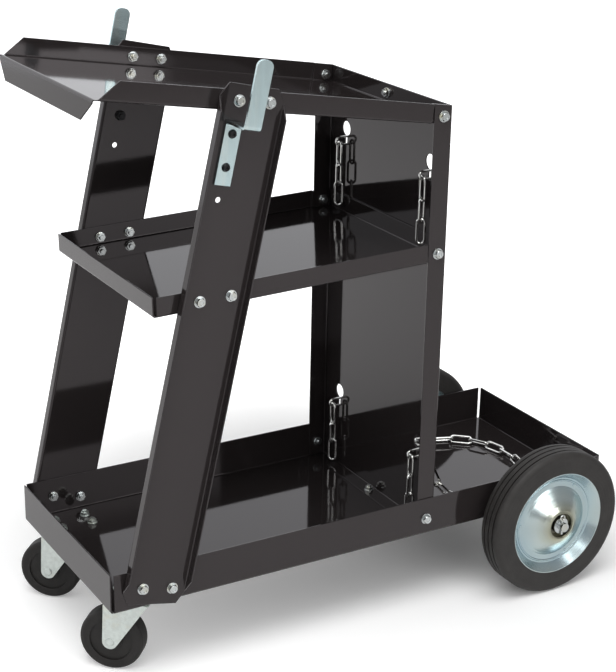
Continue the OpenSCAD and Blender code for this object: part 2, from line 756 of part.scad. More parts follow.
// Outer face of a pressed rim half, from its lip to the cup's mouth, lowered by drop
function rim_face(drop) = let (a = wheel_w / 2 - drop) concat(
    [[rim_r - rim_t / 2, a], [band_r, a - band_depth + bead_h / 2], [bead_r + 2 * bead_h, a - band_depth],
     [bead_r + bead_h, a - band_depth + bead_h], [bead_r, a - band_depth + bead_h],
     [bead_r - bead_h, a - band_depth]],
    [for (q = dome_shares) [dome_r + (cup_r - dome_r) * q[0], a - band_depth + (band_depth + dome_over) * q[1]]]);

// Half of a rim: lip, sloping band, bead, dome and cup, with the sleeve on the axle
module rim_half() {
    a = wheel_w / 2;
    outer = rim_face(0);
    inner = rim_face(rim_t);
    n = len(outer);
    polygon(concat([[rim_r, a - rim_t * 1.5], [rim_r, a]], outer, [for (k = [n - 1:-1:1]) inner[k]],
        [[rim_r - rim_t, a - rim_t * 1.5]]));
    translate([cup_r, a + dome_over - cup_depth]) square([rim_t, cup_depth - rim_t / 2]);
    translate([hub_r - rim_t / 2, a + dome_over - cup_depth]) square([cup_r + rim_t - hub_r, rim_t]);
    translate([axle_r + running_fit, 0]) square([hub_r - axle_r - running_fit, hub_half]);
}

module rim_section() {
    for (m = [0, 1]) mirror([0, m]) rim_half();
    translate([bead_r - bead_h, -wheel_w / 2 + band_depth]) square([rim_t, wheel_w - 2 * band_depth]);
}

module rim() {
    color(zinc) {
        spin_rear() rim_section();
        for (k = [0:rim_rivets - 1], m = [-1, 1]) translate([axle_x, -wheel_y, wheel_r])
            rotate([0, -rivet_turn - k * 360 / rim_rivets, 0]) translate([rivet_ring, 0, 0]) rotate([90 * m, 0, 0])
                translate([0, 0, wheel_w / 2 - band_depth - rim_t / 2])
                    cylinder(r1 = rivet_r, r2 = rivet_r * 0.7, h = rim_t / 2 + rivet_h);
    }
}

module washer() {
    color(zinc) translate([axle_x, -wheel_y - hub_half - side_play, wheel_r]) rotate([90, 0, 0]) difference() {
        cylinder(r = washer_r, h = washer_t);
        translate([0, 0, -cut]) cylinder(r = axle_r + running_fit, h = washer_t + 2 * cut);
    }
}

// Cotter pin: an eye above the axle and a shank through it
module cotter() {
    color(zinc) translate([axle_x, -cotter_y, wheel_r]) {
        translate([0, 0, -axle_r - cotter_leg / 4]) cylinder(d = cotter_d, h = axle_d + cotter_leg / 4 + cotter_d);
        translate([0, 0, axle_r + 2 * cotter_d]) rotate([90, 0, 0]) rotate_extrude() translate([cotter_d * 1.1, 0]) circle(d = cotter_d * 0.7);
    }
}

// Caster frames: the plate stays square to the tray, the fork turns about the pivot
module at_caster(side) {
    placed() translate([caster_x, side == "far" ? caster_y : -caster_y, 0]) children();
}

module in_fork(side) { at_caster(side) rotate([0, 0, -caster_yaw]) children(); }

module caster_plate(side) {
    color(zinc) at_caster(side) difference() {
        union() {
            translate([-plate_l / 2, -plate_w / 2, tray_z - plate_t]) cube([plate_l, plate_w, plate_t]);
            translate([0, 0, fork_top_z + fork_gap])
                cylinder(r = race_r, h = tray_z - plate_t - fork_top_z - fork_gap);
            translate([0, 0, fork_top_z - fork_t - fork_gap - kingpin_head_h]) {
                cylinder(r = kingpin_r, h = tray_z - fork_top_z);
                cylinder(r = kingpin_head_r, h = kingpin_head_h);
            }
        }
        for (i = [-1, 1], j = [-1, 1]) z_hole(i * plate_bolt_x, j * plate_bolt_y, tray_z - plate_t, bolt_hole_d);
    }
}

module caster_bolts(side) {
    color(zinc) at_caster(side) for (i = [-1, 1], j = [-1, 1])
        translate([i * plate_bolt_x, j * plate_bolt_y, tray_z - plate_t]) bolt(plate_t + sheet);
}

// Cheek of the fork: a round end about the axle, straight edges up to the crown
module cheek_outline() {
    b = atan2(fork_top_z - caster_r, crown_back + caster_trail);
    d = sqrt(pow(fork_top_z - caster_r, 2) + pow(crown_back + caster_trail, 2));
    t = b - acos(fork_end_r / d);
    difference() {
        union() {
            translate([-caster_trail, caster_r]) circle(r = fork_end_r);
            polygon([[-caster_trail - fork_end_r, caster_r], [-caster_trail - fork_end_r * 0.75, fork_top_z],
                [crown_back, fork_top_z],
                [-caster_trail + fork_end_r * cos(t), caster_r + fork_end_r * sin(t)]]);
        }
        translate([-caster_trail, caster_r]) circle(r = pin_r + running_fit);
    }
}

module caster_fork(side) {
    color(zinc) in_fork(side) difference() {
        union() {
            for (m = [0, 1]) mirror([0, m, 0]) translate([0, cheek_y + fork_t, 0]) rotate([90, 0, 0])
                linear_extrude(fork_t) cheek_outline();
            translate([-caster_trail - fork_end_r * 0.75, -cheek_y, fork_top_z - fork_t])
                cube([caster_trail + fork_end_r * 0.75 + crown_back, 2 * cheek_y, fork_t]);
        }
        translate([0, 0, fork_top_z - 2 * fork_t]) cylinder(r = kingpin_r + running_fit, h = 3 * fork_t);
    }
}

module caster_wheel(side) {
    a = caster_w / 2;
    color(rubber) in_fork(side) translate([-caster_trail, 0, caster_r]) rotate([90, 0, 0]) rotate_extrude($fn = 72)
        difference() {
            union() {
                translate([pin_r + running_fit, -a]) square([caster_r - caster_round - pin_r, caster_w]);
                translate([pin_r + running_fit, -a + caster_round])
                    square([caster_r - pin_r - running_fit, caster_w - 2 * caster_round]);
                for (m = [-1, 1]) translate([caster_r - caster_round, m * (a - caster_round)]) circle(r = caster_round);
                translate([pin_r + running_fit, -a - fork_play + side_play])
                    square([caster_hub_r - pin_r, caster_w + 2 * (fork_play - side_play)]);
            }
            for (m = [-1, 1]) translate([caster_hub_r + caster_recess, m > 0 ? a - caster_recess : -a - cut])
                square([caster_r - caster_hub_r - 3 * caster_round, caster_recess + cut]);
        }
}

module caster_axle(side) {
    h = cheek_y + fork_t;
    color(zinc) in_fork(side) translate([-caster_trail, 0, caster_r]) rotate([90, 0, 0]) {
        translate([0, 0, -h]) cylinder(r = pin_r, h = 2 * h);
        for (m = [0, 1]) mirror([0, 0, m]) translate([0, 0, h]) cylinder(r1 = pin_head_r, r2 = pin_r, h = pin_head_h);
    }
}

// One chain link along X, in the XY plane
module link() {
    for (m = [0, 1]) mirror([m, 0, 0]) translate([link_straight / 2, 0, 0])
        rotate([0, 0, -90]) rotate_extrude(angle = 180, $fn = 32) translate([link_turn_r, 0]) circle(d = wire_d, $fn = 16);
    for (m = [-1, 1]) translate([-link_straight / 2, m * link_turn_r, 0]) rotate([0, 90, 0])
        cylinder(d = wire_d, h = link_straight, $fn = 16);
}

// A link between two joints, rolled about its length
module link_between(p, q, az, roll) {
    d = q - p;
    flat = cos(az) * d[0] + sin(az) * d[1];
    translate((p + q) / 2) rotate([0, -atan2(d[2], flat), az]) rotate([roll, 0, 0]) link();
}

// Link that lies through a keyhole's slot, edge up
module bridge_link(y, c) {
    translate([panel_mid, y, bridge_z(c)]) rotate([90, 0, 0]) link();
}

function heading(d) = norm([d[0], d[1]]) < 0.01 * link_pitch ? 0 : atan2(d[1], d[0]);

module chain_upper() {
    color(zinc) placed() {
        for (y = [-keyhole_y, keyhole_y]) bridge_link(y, keyhole_top_z);
        for (k = [0:upper_links - 1])
            link_between(upper_joints[k], upper_joints[k + 1], -90, k % 2 == 0 ? 90 : 0);
    }
}

module chain_lower() {
    color(zinc) placed() {
        for (y = [-keyhole_y, keyhole_y]) bridge_link(y, keyhole_low_z);
        for (k = [0:lower_links - 1]) let (p = lower_joints[k], q = lower_joints[k + 1])
            link_between(p, q, heading(q - p), (k % 2 == 0 ? 0 : 90) + lower_twist(k));
    }
}

// Free end of a chain in front of the panel
module tail(c, far) {
    y = far ? keyhole_y : -keyhole_y;
    color(zinc) placed() for (k = [0:tail_links - 1])
        link_between([tail_x, y, hang_z(c) - k * link_pitch], [tail_x, y, hang_z(c) - (k + 1) * link_pitch],
            0, tail_rolls[k]);
}

bottom_tray();
middle_shelf();
top_shelf();
back_panel();
axle();
lip_bolt();
foot_bolt();
for (s = sides) {
    on_side(s) leg();
    on_side(s) hook();
    on_side(s) hook_screw(0);
    on_side(s) hook_screw(1);
    on_side(s) saddle();
    on_side(s) rim();
    on_side(s) tyre();
    on_side(s) washer();
    on_side(s) cotter();
    caster_plate(s);
    caster_bolts(s);
    caster_fork(s);
    caster_wheel(s);
    caster_axle(s);
    for (k = [1:6]) on_side(s) leg_bolt(k - 1);
    for (k = [1:3]) on_side(s) panel_bolt(k - 1);
    tail(keyhole_top_z, s == "far");
    tail(keyhole_low_z, s == "far");
}
chain_upper();
chain_lower();
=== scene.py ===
"""Welding cart: finishes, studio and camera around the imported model.

The cart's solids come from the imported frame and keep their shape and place. This script gives each of
them its finish: powder coat, plated zinc, black oxide or rubber. All lengths are in metres.
"""

import json
import math

import bmesh
import bpy
from mathutils import Matrix, Vector


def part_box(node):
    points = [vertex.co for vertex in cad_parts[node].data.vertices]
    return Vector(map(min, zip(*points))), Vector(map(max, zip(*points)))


bl_info = {
    "name": "Welding Cart",
    "version": (1, 0, 0),
    "blender": (4, 5, 0),
    "location": "View3D > Sidebar > Welding Cart",
    "description": "Finishes a three-shelf welding cart with its wheels, chains and hooks",
    "category": "Object",
}

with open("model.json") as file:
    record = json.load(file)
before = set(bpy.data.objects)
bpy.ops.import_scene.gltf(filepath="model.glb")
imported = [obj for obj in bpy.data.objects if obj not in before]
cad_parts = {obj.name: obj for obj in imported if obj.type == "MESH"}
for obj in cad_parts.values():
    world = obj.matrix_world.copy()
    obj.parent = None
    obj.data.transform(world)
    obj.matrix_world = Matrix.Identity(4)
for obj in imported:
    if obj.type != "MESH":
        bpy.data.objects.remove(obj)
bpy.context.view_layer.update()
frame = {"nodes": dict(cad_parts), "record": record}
NODES = frame["nodes"]

# Names of the cart's pieces
SIDES = ("near", "far")
LEVELS = ("upper", "lower")
SHEETS = ("bottom_tray", "middle_shelf", "top_shelf", "back_panel")
CASTER_METAL = ("plate", "bolts", "fork", "axle")
FLANGE_BOLTS = [f"leg_bolt_{k}_{side}" for side in SIDES for k in range(1, 7)]
FLANGE_BOLTS += [f"panel_bolt_{k}_{side}" for side in SIDES for k in range(1, 4)]
FLANGE_BOLTS += ["lip_bolt", "foot_bolt"]

# Directions and plain colours
AXLE_AXIS = (0.0, 1.0, 0.0)
WHITE = (1.0, 1.0, 1.0)

# Sockets of a colour mix node
MIX_FACTOR, MIX_FIRST, MIX_SECOND, MIX_RESULT = 0, 6, 7, 2

# Rays that the rounding of an edge takes, and how alike the flat and the rounded normal are where the
# wear of an edge starts and where it is full
BEVEL_SAMPLES = 6
WEAR_SPAN = (0.995, 0.8)

# Paint: strengths of the gloss, of the dust and of the wear on cut edges
PAINT_INDEX = 1.465
PAINT_TINT = (1.0, 0.93, 0.955)
PAINT_COAT = 0.05
PAINT_COAT_ROUGHNESS = 0.04
PAINT_DUST = (0.30, 0.30, 0.31)
PAINT_DUST_SHARE = 0.05
PAINT_WORN = (0.035, 0.035, 0.038)
PAINT_WORN_SHARE = 0.35

# Rims: the distance from the axle at which the tint's ramp ends, how much its rings wander, and how
# much of the clouds shows
RIM_REACH = 1.0 / 12.0
RIM_WANDER = 0.006
RIM_CLOUD_SHARE = 0.7
RIM_ROUGHNESS = (0.18, 0.30)

# Rubber: pale dust in the grain, and its gloss as a start and a share of the shade
RUBBER_DUST = (0.14, 0.13, 0.12)
RUBBER_DUST_SHARE = 0.10
RUBBER_SHINE = 0.15
RUBBER_SHINE_SHARE = 0.20

# Black oxide of the socket screws
OXIDE_ROUGHNESS = (0.28, 0.48)
OXIDE_METALLIC = 0.6

# World: even light on the cart, white for the camera, and what the cart's gloss mirrors. The mirrored
# walls are a little brighter in front and dim towards the near side. Spans are directions from -1 to 1.
FILL_LEVEL = 0.44
BACKDROP_LEVEL = 1.0
MIRROR_COLOUR = (0.96, 0.97, 1.0)
MIRROR_FRONT_SPAN = (0.15, -0.75)
MIRROR_FRONT_LEVELS = (0.0, 0.05)
MIRROR_SIDE_SPAN = (0.40, 0.0)
MIRROR_SIDE_LEVELS = (1.12, 1.12 * 0.34)

# Floor paper: its white and its drop below the wheels
PAPER_WHITE = 0.90
PAPER_ROUGHNESS = 0.7
PAPER_SPECULAR = 0.2
PAPER_DROP = 0.0005
PAPER_SEGMENTS = 96

# Light of the floor paper's own. For the camera it grows with the distance from the cart's middle, from
# less under the rear than under the front. Gloss mirrors the paper brighter beyond the cart and dimmer
# on its near side.
GLOW_SPAN = (0.40, 1.0)
GLOW_FAR_LEVEL = 1.0
UNDER_SPAN = (-0.35, 0.20)
UNDER_LEVELS = (0.27, 0.04)
MIRRORED_GLOW_SPAN = (0.2, 1.3)
MIRRORED_GLOW_LEVELS = (0.0, 0.4)
MIRRORED_DIM_SPAN = (-0.35, -0.10)
MIRRORED_DIM_LEVELS = (0.22, 0.0)

# Studio lamps, in metres and watts
LAMPS = {
    "key": {"place": (-1.5, -1.5, 2.5), "target": (0.0, 0.0, 0.35), "size": (1.5, 1.5), "power": 21.0},
    "top": {"place": (-0.35, -0.85, 2.8), "target": (0.0, 0.0, 0.3), "size": (2.2, 1.6), "power": 47.0},
    "front": {"place": (-3.0, 0.9, 1.7), "target": (-0.3, 0.3, 0.3), "size": (2.2, 1.6), "power": 13.0},
    "window": {"place": (0.35, -2.9, 1.25), "target": (0.25, -0.2, 0.15), "size": (2.2, 0.9), "power": 24.0},
}

# Camera: width of its sensor in millimetres and the far end of its view
SENSOR_WIDTH = 36.0
VIEW_END = 60.0


# Settings


class CartPaint(bpy.types.PropertyGroup):
    """Powder coat of the folded sheets and the legs"""
    colour: bpy.props.FloatVectorProperty(
        name="Paint", description="Colour of the powder coat", subtype="COLOR",
        default=(0.0180, 0.0152, 0.0152), min=0.0, max=1.0)
    gloss: bpy.props.FloatProperty(
        name="Roughness", description="Roughness of the powder coat", default=0.055, min=0.02, max=0.6)
    peel: bpy.props.FloatProperty(
        name="Orange peel", description="Size of the powder coat's small dimples",
        default=0.0022, min=0.0005, max=0.01, unit="LENGTH")
    edge: bpy.props.FloatProperty(
        name="Edge radius", description="Radius that the paint gives to a cut sheet edge",
        default=0.0009, min=0.0, max=0.003, unit="LENGTH")


class CartMetal(bpy.types.PropertyGroup):
    """Colours of the plated pieces"""
    zinc: bpy.props.FloatVectorProperty(
        name="Zinc", description="Colour of the plated bolts and the axle", subtype="COLOR",
        default=(0.68, 0.71, 0.71), min=0.0, max=1.0)
    zinc_warm: bpy.props.FloatVectorProperty(
        name="Passivation", description="Warm tint of the passivated zinc", subtype="COLOR",
        default=(0.62, 0.60, 0.50), min=0.0, max=1.0)
    hook: bpy.props.FloatVectorProperty(
        name="Hooks", description="Colour of the cable hooks", subtype="COLOR",
        default=(0.64, 0.79, 0.81), min=0.0, max=1.0)
    hook_warm: bpy.props.FloatVectorProperty(
        name="Hooks, pale", description="Paler tint in the plating of the cable hooks", subtype="COLOR",
        default=(0.76, 0.82, 0.78), min=0.0, max=1.0)
    caster: bpy.props.FloatVectorProperty(
        name="Casters", description="Colour of the casters' forks and plates", subtype="COLOR",
        default=(0.66, 0.71, 0.68), min=0.0, max=1.0)
    rim: bpy.props.FloatVectorProperty(
        name="Rim", description="Colour of the wheels' pressed rims", subtype="COLOR",
        default=(0.54, 0.61, 0.605), min=0.0, max=1.0)
    chain: bpy.props.FloatVectorProperty(
        name="Chain", description="Colour of the chain's wire", subtype="COLOR",
        default=(0.86, 0.86, 0.84), min=0.0, max=1.0)
    chain_warm: bpy.props.FloatVectorProperty(
        name="Chain, worn", description="Warmer tint in the plating of the chain's wire", subtype="COLOR",
        default=(0.72, 0.70, 0.64), min=0.0, max=1.0)


class CartRubber(bpy.types.PropertyGroup):
    """Rubber of the tyres and the casters' wheels"""
    colour: bpy.props.FloatVectorProperty(
        name="Rubber", description="Colour of the tyres", subtype="COLOR",
        default=(0.0175, 0.0160, 0.0150), min=0.0, max=1.0)
    gloss: bpy.props.FloatProperty(
        name="Roughness", description="Roughness of the tyres", default=0.55, min=0.2, max=1.0)


class CartStudio(bpy.types.PropertyGroup):
    """Camera and floor of the studio"""
    azimuth: bpy.props.FloatProperty(
        name="Azimuth", description="Direction of the camera around the cart",
        default=math.radians(-30.37), subtype="ANGLE")
    elevation: bpy.props.FloatProperty(
        name="Elevation", description="Height angle of the camera",
        default=math.radians(20.36), subtype="ANGLE")
    roll: bpy.props.FloatProperty(
        name="Roll", description="Turn of the camera about its own axis",
        default=math.radians(1.05), subtype="ANGLE")
    place: bpy.props.FloatVectorProperty(
        name="Place", description="Position of the camera",
        default=(-1.0151, -1.7030, 1.0820), subtype="TRANSLATION")
    lens: bpy.props.FloatProperty(
        name="Lens", description="Focal length of the camera in millimetres",
        default=88.02, min=20.0, max=300.0)
    floor: bpy.props.FloatProperty(
        name="Floor", description="Radius of the studio floor", default=9.0, min=2.0, unit="LENGTH")


# Shader nodes


def new_material(name):
    """An empty material, its node tree and its shader."""
    material = bpy.data.materials.new(name)
    material.use_nodes = True
    tree = material.node_tree
    tree.nodes.clear()
    out = tree.nodes.new("ShaderNodeOutputMaterial")
    shader = tree.nodes.new("ShaderNodeBsdfPrincipled")
    tree.links.new(shader.outputs["BSDF"], out.inputs["Surface"])
    return material, tree, shader


def node(tree, kind, sockets=None, **fields):
    """A node with its fields set, and each named socket linked or given its value."""
    made = tree.nodes.new(kind)
    for key, value in fields.items():
        setattr(made, key, value)
    for key, value in (sockets or {}).items():
        if isinstance(value, bpy.types.NodeSocket):
            tree.links.new(value, made.inputs[key])
        else:
            made.inputs[key].default_value = value
    return made


def object_coordinates(tree):
    return node(tree, "ShaderNodeTexCoord").outputs["Object"]


def noise(tree, scale, detail=4.0, rough=0.55, place=None):
    """Clouds, scale of them to a metre."""
    return node(tree, "ShaderNodeTexNoise", {
        "Vector": place or object_coordinates(tree), "Scale": scale, "Detail": detail,
        "Roughness": rough}).outputs["Fac"]


def ramp(tree, factor, stops):
    """Colour ramp from pairs of a place and a colour."""
    made = node(tree, "ShaderNodeValToRGB", {"Fac": factor})
    band = made.color_ramp
    while len(band.elements) < len(stops):
        band.elements.new(0.5)
    for element, (place, colour) in zip(band.elements, stops):
        element.position = place
        element.color = (*colour, 1.0)
    return made.outputs["Color"]


def grey_ramp(tree, factor, stops):
    return ramp(tree, factor, [(place, (level, level, level)) for place, level in stops])


def remap(tree, value, span, levels, kind="LINEAR"):
    """A level that goes from the first to the second one, as the value goes along the span."""
    return node(tree, "ShaderNodeMapRange", {
        "Value": value, "From Min": span[0], "From Max": span[1], "To Min": levels[0], "To Max": levels[1]},
        interpolation_type=kind).outputs["Result"]


def between(tree, factor, low, high):
    """A level from low to high, as the factor goes from 0 to 1."""
    return remap(tree, factor, (0.0, 1.0), (low, high))


def maths(tree, operation, first, second):
    return node(tree, "ShaderNodeMath", {0: first, 1: second}, operation=operation).outputs["Value"]


def vector_maths(tree, operation, *vectors):
    return node(tree, "ShaderNodeVectorMath", dict(enumerate(vectors)), operation=operation)


def blend_colours(tree, factor, first, second, kind="MIX"):
    """Mix of two colours, each a socket or three numbers."""
    colours = {}
    for key, colour in ((MIX_FIRST, first), (MIX_SECOND, second)):
        colours[key] = colour if isinstance(colour, bpy.types.NodeSocket) else (*colour, 1.0)
    made = node(tree, "ShaderNodeMix", {MIX_FACTOR: factor, **colours}, data_type="RGBA", blend_type=kind)
    return made.outputs[MIX_RESULT]


def bump(tree, height, distance, strength, base=None):
    """Normal pushed in and out by a height, on top of another normal if there is one."""
    sockets = {"Height": height, "Distance": distance, "Strength": strength}
    if base is not None:
        sockets["Normal"] = base
    return node(tree, "ShaderNodeBump", sockets).outputs["Normal"]


def rounded(tree, radius):
    """Normal that rounds the sharp edges."""
    return node(tree, "ShaderNodeBevel", {"Radius": radius}, samples=BEVEL_SAMPLES).outputs["Normal"]


def edge_mask(tree, radius):
    """White along sharp edges, black on flat faces."""
    flat = node(tree, "ShaderNodeNewGeometry").outputs["Normal"]
    alike = vector_maths(tree, "DOT_PRODUCT", flat, rounded(tree, radius)).outputs["Value"]
    return remap(tree, alike, WEAR_SPAN, (0.0, 1.0))


def radius_about(tree, centre, axis=AXLE_AXIS):
    """Distance from a wheel's axis."""
    away = vector_maths(tree, "SUBTRACT", object_coordinates(tree), centre).outputs["Vector"]
    across = vector_maths(tree, "CROSS_PRODUCT", away, axis).outputs["Vector"]
    return vector_maths(tree, "LENGTH", across).outputs["Value"]


# Finishes


def powder_coat(name):
    """Gloss black paint: fine orange peel, slow waves in the sheet, dust, and wear on cut edges."""
    paint = bpy.context.scene.cart_paint
    material, tree, shader = new_material(name)
    peel = noise(tree, scale=1.0 / paint.peel, detail=2.0, rough=0.4)
    waves = noise(tree, scale=7.0, detail=2.0, rough=0.4)
    patches = noise(tree, scale=24.0, detail=5.0, rough=0.65)
    specks = grey_ramp(tree, noise(tree, scale=900.0, detail=3.0, rough=0.6), [(0.70, 0.0), (0.80, 1.0)])
    dusty = maths(tree, "MULTIPLY", specks, PAINT_DUST_SHARE)
    base = blend_colours(tree, dusty, paint.colour, PAINT_DUST)
    worn = maths(tree, "MULTIPLY", edge_mask(tree, paint.edge), PAINT_WORN_SHARE)
    base = blend_colours(tree, worn, base, PAINT_WORN)
    tree.links.new(base, shader.inputs["Base Color"])
    tree.links.new(between(tree, patches, paint.gloss * 0.75, paint.gloss * 1.5), shader.inputs["Roughness"])
    shader.inputs["IOR"].default_value = PAINT_INDEX
    shader.inputs["Specular Tint"].default_value = (*PAINT_TINT, 1.0)
    shader.inputs["Coat Weight"].default_value = PAINT_COAT
    shader.inputs["Coat Roughness"].default_value = PAINT_COAT_ROUGHNESS
    normal = bump(tree, waves, distance=0.0012, strength=0.10, base=rounded(tree, paint.edge))
    normal = bump(tree, peel, distance=0.00012, strength=0.10, base=normal)
    tree.links.new(normal, shader.inputs["Normal"])
    return material


def plated(name, colour, warm, roughness, spread, edge=0.0004, stained=0.5, drawn=1.0):
    """Zinc plate in clouds of two tints.

    spread is how fine the clouds are, edge the radius of the sharp edges, stained the share of the
    dark stains, and drawn how far the pattern is stretched along the height.
    """
    material, tree, shader = new_material(name)
    place = node(tree, "ShaderNodeMapping", {
        "Vector": object_coordinates(tree), "Scale": (1.0, 1.0, drawn)}).outputs["Vector"]
    clouds = noise(tree, scale=spread, detail=5.0, rough=0.6, place=place)
    spots = noise(tree, scale=spread * 7.0, detail=4.0, rough=0.7, place=place)
    patches = noise(tree, scale=spread * 3.0, detail=4.0, rough=0.6, place=place)
    grain = noise(tree, scale=900.0, detail=3.0, rough=0.6, place=place)
    tint = ramp(tree, clouds, [
        (0.30, tuple(colour)), (0.50, tuple(0.92 * c for c in colour)), (0.72, tuple(warm))])
    stain = grey_ramp(tree, spots, [(0.42, 0.80), (0.60, 1.0)])
    tree.links.new(blend_colours(tree, stained, tint, stain, "MULTIPLY"), shader.inputs["Base Color"])
    shader.inputs["Metallic"].default_value = 1.0
    tree.links.new(between(tree, patches, roughness * 0.75, roughness * 1.35), shader.inputs["Roughness"])
    normal = bump(tree, grain, distance=0.00008, strength=0.22, base=rounded(tree, edge))
    tree.links.new(normal, shader.inputs["Normal"])
    return material


def rim_zinc(name, centre):
    """Bright zinc of a pressed rim: painted shade makes it near black in the recess at the hub, and it has
    faint turning rings.
    """
    colour = tuple(bpy.context.scene.cart_metal.rim)
    cooler = tuple(share * c for share, c in zip((0.86, 0.95, 1.02), colour))
    material, tree, shader = new_material(name)
    reach = radius_about(tree, centre)
    wander = between(tree, noise(tree, scale=18.0, detail=3.0), -RIM_WANDER, RIM_WANDER)
    waved = maths(tree, "ADD", reach, wander)
    # The first stops of this ramp are painted shade: the rim turns near black towards the recess at the hub.
    tint = ramp(tree, maths(tree, "MULTIPLY", waved, 1.0 / RIM_REACH), [
        (0.12, (0.05, 0.05, 0.045)), (0.18, (0.16, 0.15, 0.11)), (0.25, (0.46, 0.46, 0.36)),
        (0.42, colour), (0.72, cooler), (0.88, colour)])
    clouds = ramp(tree, noise(tree, scale=30.0), [(0.35, (0.86, 0.90, 0.94)), (0.65, (1.0, 1.0, 0.97))])
    patches = noise(tree, scale=60.0, rough=0.6)
    tree.links.new(blend_colours(tree, RIM_CLOUD_SHARE, tint, clouds, "MULTIPLY"),
                   shader.inputs["Base Color"])
    shader.inputs["Metallic"].default_value = 1.0
    tree.links.new(between(tree, patches, *RIM_ROUGHNESS), shader.inputs["Roughness"])
    turned = node(tree, "ShaderNodeTexNoise", {
        "W": reach, "Scale": 900.0, "Detail": 2.0}, noise_dimensions="1D")
    dents = noise(tree, scale=40.0, detail=2.0)
    normal = bump(tree, turned.outputs["Fac"], distance=0.00006, strength=0.25, base=rounded(tree, 0.0006))
    normal = bump(tree, dents, distance=0.0006, strength=0.10, base=normal)
    tree.links.new(normal, shader.inputs["Normal"])
    return material


def tyre_rubber(name, centre, axis, ring, shade):
    """Black rubber with dust in its grain and fine rings about the axis, ring apart."""
    rubber = bpy.context.scene.cart_rubber
    material, tree, shader = new_material(name)
    base = tuple(shade * c for c in rubber.colour)
    clouds = noise(tree, scale=45.0, detail=5.0, rough=0.6)
    patches = noise(tree, scale=120.0, rough=0.6)
    grain = noise(tree, scale=1400.0, detail=3.0, rough=0.6)
    tint = ramp(tree, clouds, [(0.3, base), (0.7, tuple(1.5 * c for c in base))])
    specks = grey_ramp(tree, noise(tree, scale=500.0, rough=0.65), [(0.60, 0.0), (0.82, 1.0)])
    dusty = maths(tree, "MULTIPLY", specks, RUBBER_DUST_SHARE * shade)
    tree.links.new(blend_colours(tree, dusty, tint, RUBBER_DUST), shader.inputs["Base Color"])
    tree.links.new(between(tree, patches, rubber.gloss * 0.85, rubber.gloss * 1.25),
                   shader.inputs["Roughness"])
    shader.inputs["Specular IOR Level"].default_value = RUBBER_SHINE + RUBBER_SHINE_SHARE * shade
    turns = maths(tree, "MULTIPLY", radius_about(tree, centre, axis), 2.0 * math.pi / ring)
    rings = maths(tree, "SINE", turns, 0.0)
    normal = bump(tree, rings, distance=0.00012, strength=0.25)
    normal = bump(tree, grain, distance=0.00012, strength=0.35, base=normal)
    tree.links.new(normal, shader.inputs["Normal"])
    return material


def black_oxide(name):
    """Dull black of the hooks' socket screws."""
    material, tree, shader = new_material(name)
    tint = ramp(tree, noise(tree, scale=250.0, rough=0.6), [
        (0.3, (0.012, 0.012, 0.014)), (0.7, (0.03, 0.029, 0.03))])
    patches = noise(tree, scale=300.0)
    grain = noise(tree, scale=1200.0)
    tree.links.new(tint, shader.inputs["Base Color"])
    tree.links.new(between(tree, patches, *OXIDE_ROUGHNESS), shader.inputs["Roughness"])
    shader.inputs["Metallic"].default_value = OXIDE_METALLIC
    normal = bump(tree, grain, distance=0.00006, strength=0.3, base=rounded(tree, 0.0004))
    tree.links.new(normal, shader.inputs["Normal"])
    return material


def dress(name, material):
    """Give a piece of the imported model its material, in every slot that it has."""
    obj = NODES[name]
    for slot in obj.material_slots:
        slot.material = material
    if not obj.material_slots:
        obj.data.materials.append(material)


def middle(name):
    """Middle of a piece's box."""
    low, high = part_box(name)
    return (Vector(low) + Vector(high)) / 2


def joint_axis(name):
    """Axis of one of the cart's joints."""
    return next(joint for joint in frame["record"]["behaviour"]["joints"] if joint["name"] == name)["axis"]


# Pieces of the cart


class CART_OT_sheet_metal(bpy.types.Operator):
    """Coat the trays, the panel, the legs and the axle saddles"""
    bl_idname = "cart.sheet_metal"
    bl_label = "Sheet Metal"

    def execute(self, context):
        coat = powder_coat("black powder coat")
        for name in SHEETS:
            dress(name, coat)
        for side in SIDES:
            dress(f"leg_{side}", coat)
            dress(f"saddle_{side}", coat)
        return {"FINISHED"}


class CART_OT_fittings(bpy.types.Operator):
    """Plate the bolts, the hooks and the axle"""
    bl_idname = "cart.fittings"
    bl_label = "Bolts, Hooks and Axle"

    def execute(self, context):
        metal = context.scene.cart_metal
        bolts = plated("bolt zinc", metal.zinc, metal.zinc_warm, roughness=0.20, spread=90.0)
        hooks = plated("hook zinc", metal.hook, metal.hook_warm, roughness=0.22, spread=40.0,
                       edge=0.0007, stained=0.25, drawn=0.12)
        screws = black_oxide("black screw")
        for name in FLANGE_BOLTS:
            dress(name, bolts)
        for side in SIDES:
            dress(f"hook_{side}", hooks)
            for level in LEVELS:
                dress(f"hook_screw_{level}_{side}", screws)
            for name in ("washer", "cotter"):
                dress(f"{name}_{side}", bolts)
        dress("axle", bolts)
        return {"FINISHED"}


class CART_OT_rear_wheels(bpy.types.Operator):
    """Finish the tyres and the rims of the rear wheels"""
    bl_idname = "cart.rear_wheels"
    bl_label = "Rear Wheels"

    def execute(self, context):
        for side in SIDES:
            centre = middle(f"tyre_{side}")
            rubber = tyre_rubber(f"tyre rubber {side}", centre, AXLE_AXIS, ring=0.0045, shade=1.0)
            dress(f"tyre_{side}", rubber)
            dress(f"rim_{side}", rim_zinc(f"rim zinc {side}", centre))
        return {"FINISHED"}


class CART_OT_casters(bpy.types.Operator):
    """Finish the casters: plates, forks, wheels and axles"""
    bl_idname = "cart.casters"
    bl_label = "Casters"

    def execute(self, context):
        metal = context.scene.cart_metal
        pale = plated("caster zinc", metal.caster, metal.zinc_warm, roughness=0.34, spread=26.0, edge=0.0005)
        for side in SIDES:
            for name in CASTER_METAL:
                dress(f"caster_{name}_{side}", pale)
            wheel = f"caster_wheel_{side}"
            axis = joint_axis(f"caster_roll_{side}")
            dress(wheel, tyre_rubber(f"caster rubber {side}", middle(wheel), axis, ring=0.0065, shade=0.7))
        return {"FINISHED"}


